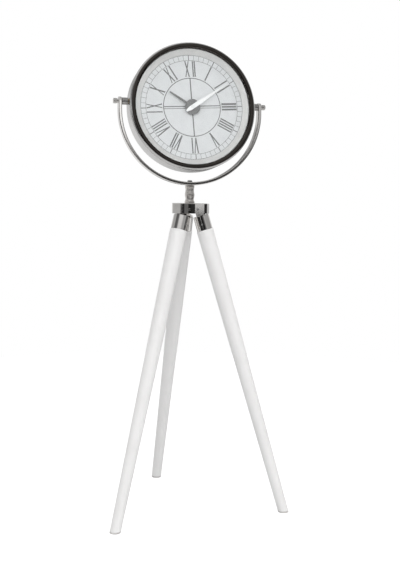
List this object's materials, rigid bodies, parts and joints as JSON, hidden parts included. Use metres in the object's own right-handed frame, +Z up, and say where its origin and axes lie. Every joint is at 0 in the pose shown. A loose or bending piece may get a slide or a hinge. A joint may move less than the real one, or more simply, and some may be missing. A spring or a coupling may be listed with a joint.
{
  "type": "tripod table clock",
  "caption": "Round analogue desk clock with a tilting, swivelling head in a half-ring yoke on a folding tripod of white wooden legs.",
  "frame": {"origin": "on the table top, at the middle of the box round the whole clock", "axes": "+Z up, -Y the way the dial faces, +X to the viewer's right when facing the dial; the rear leg points to +Y"},
  "size_m": [0.2648, 0.2313, 0.6691],
  "materials": {
    "leg_paint": "turned hardwood under smooth satin white paint",
    "polished_metal": "polished nickel plate on cast and turned metal",
    "polished_steel": "bright pins, ends ground flush",
    "foot_rubber": "pale non-slip rubber",
    "nickel": "polished nickel plate",
    "steel": "plated steel fasteners",
    "satin_nickel": "spun metal, satin nickel plate",
    "dark_rim": "polished black nickel plate",
    "clear_glass": "flat clear glass",
    "gasket_rubber": "black rubber",
    "bright_ring": "satin silver ring that slopes to the dial",
    "dial_white": "matt off-white with grey printing",
    "black_plastic": "black moulded plastic",
    "movement_plastic": "dark grey moulded plastic",
    "gear_plastic": "natural white moulded plastic",
    "brass": "turned brass",
    "rotor_magnet": "magnet on a steel arbor",
    "stator_iron": "stamped soft iron",
    "copper_wire": "enamelled copper wire, close wound",
    "board_green": "circuit board with a black resin blob",
    "battery_can": "wrapped steel can, plain",
    "spring_steel": "nickel-plated spring strip",
    "hand_black": "dark grey lacquer, semi-gloss",
    "hand_silver": "bright silver, ridged along the middle"
  },
  "bodies": {
    "tripod_hub": {"tripod_hub": "polished_metal", "leg_hinge_pins": "polished_steel"},
    "leg_rear": {"ferrule_rear": "polished_metal", "leg_rear": "leg_paint", "foot_pad_rear": "foot_rubber", "ferrule_pin_rear": "polished_steel"},
    "leg_left": {"ferrule_left": "polished_metal", "leg_left": "leg_paint", "foot_pad_left": "foot_rubber", "ferrule_pin_left": "polished_steel"},
    "leg_right": {"ferrule_right": "polished_metal", "leg_right": "leg_paint", "foot_pad_right": "foot_rubber", "ferrule_pin_right": "polished_steel"},
    "yoke": {"stem": "nickel", "swivel_washer": "steel", "swivel_nut": "steel", "yoke": "nickel", "yoke_screw": "steel", "pivot_spacer_left": "nickel", "pivot_spacer_right": "nickel"},
    "head": {"drum": "satin_nickel", "front_rim": "dark_rim", "lens": "clear_glass", "lens_gasket": "gasket_rubber", "reflector_ring": "bright_ring", "dial": "dial_white", "rear_cover": "black_plastic", "rear_cover_screws": "steel", "pivot_boss_left": "brass", "pivot_boss_right": "brass", "movement_case": "black_plastic", "movement_cover": "movement_plastic", "movement_washer": "brass", "movement_nut": "brass", "stator": "stator_iron", "coil_bobbin": "movement_plastic", "coil_winding": "copper_wire", "circuit_board": "board_green", "battery": "battery_can", "battery_plus_contact": "spring_steel", "battery_minus_contact": "spring_steel"},
    "pivot_knob_left": {"pivot_knob_left": "nickel"},
    "pivot_knob_right": {"pivot_knob_right": "nickel"},
    "minute_hand": {"minute_hand": "hand_silver", "hand_cap": "hand_silver", "minute_arbor": "brass"},
    "hour_hand": {"hour_hand": "hand_black", "hour_wheel": "gear_plastic"},
    "motion_wheel": {"motion_wheel": "gear_plastic"},
    "setting_knob": {"setting_knob": "black_plastic"},
    "centre_wheel": {"centre_wheel": "gear_plastic"},
    "intermediate_wheel": {"intermediate_wheel": "gear_plastic"},
    "rotor": {"rotor": "rotor_magnet"}
  },
  "joints": [
    {"name": "leg_rear_fold", "type": "hinge", "parent": "tripod_hub", "child": "leg_rear", "pos_m": [0, -0.02187, 0.4345], "axis": [-1, 0, 0], "range_deg": [0, 16.6]},
    {"name": "leg_left_fold", "type": "hinge", "parent": "tripod_hub", "child": "leg_left", "pos_m": [-0.0123, -0.04317, 0.4345], "axis": [0.5, -0.866, 0], "range_deg": [0, 16.6]},
    {"name": "leg_right_fold", "type": "hinge", "parent": "tripod_hub", "child": "leg_right", "pos_m": [0.0123, -0.04317, 0.4345], "axis": [0.5, 0.866, 0], "range_deg": [0, 16.6]},
    {"name": "swivel", "type": "hinge", "parent": "tripod_hub", "child": "yoke", "pos_m": [0, -0.03608, 0.455], "axis": [0, 0, 1], "continuous": true},
    {"name": "head_tilt", "type": "hinge", "parent": "yoke", "child": "head", "pos_m": [0, -0.03608, 0.5833], "axis": [0.9962, -0.0872, 0], "continuous": true},
    {"name": "pivot_knob_left_turn", "type": "hinge", "parent": "head", "child": "pivot_knob_left", "pos_m": [-0.10759, -0.02666, 0.5833], "axis": [-0.9962, 0.0872, 0], "range_deg": [0, 360]},
    {"name": "pivot_knob_right_turn", "type": "hinge", "parent": "head", "child": "pivot_knob_right", "pos_m": [0.10759, -0.04549, 0.5833], "axis": [0.9962, -0.0872, 0], "range_deg": [0, 360]},
    {"name": "minute_hand_turn", "type": "hinge", "parent": "head", "child": "minute_hand", "pos_m": [-0.00102, -0.04769, 0.57885], "axis": [0.0864, 0.9881, -0.1271], "continuous": true},
    {"name": "hour_hand_turn", "type": "hinge", "parent": "head", "child": "hour_hand", "pos_m": [-0.00089, -0.04631, 0.57867], "axis": [0.0864, 0.9881, -0.1271], "continuous": true},
    {"name": "motion_wheel_turn", "type": "hinge", "parent": "head", "child": "motion_wheel", "pos_m": [0.00774, -0.0385, 0.57757], "axis": [0.0864, 0.9881, -0.1271], "continuous": true},
    {"name": "setting_knob_turn", "type": "hinge", "parent": "head", "child": "setting_knob", "pos_m": [0.01622, -0.02695, 0.57874], "axis": [0.0864, 0.9881, -0.1271], "continuous": true},
    {"name": "centre_wheel_turn", "type": "hinge", "parent": "head", "child": "centre_wheel", "pos_m": [0.00011, -0.03485, 0.57719], "axis": [0.0864, 0.9881, -0.1271], "continuous": true},
    {"name": "intermediate_wheel_turn", "type": "hinge", "parent": "head", "child": "intermediate_wheel", "pos_m": [-0.01155, -0.03183, 0.57694], "axis": [0.0864, 0.9881, -0.1271], "continuous": true},
    {"name": "rotor_turn", "type": "hinge", "parent": "head", "child": "rotor", "pos_m": [-0.00663, -0.02997, 0.5869], "axis": [0.0864, 0.9881, -0.1271], "continuous": true}
  ],
  "couplings": [
    {"joint": "hour_hand_turn", "follows": "minute_hand_turn", "ratio": 0.083333},
    {"joint": "motion_wheel_turn", "follows": "minute_hand_turn", "ratio": -0.33333},
    {"joint": "setting_knob_turn", "follows": "minute_hand_turn", "ratio": 1},
    {"joint": "centre_wheel_turn", "follows": "minute_hand_turn", "ratio": 1},
    {"joint": "intermediate_wheel_turn", "follows": "minute_hand_turn", "ratio": -8},
    {"joint": "rotor_turn", "follows": "minute_hand_turn", "ratio": 60}
  ]
}
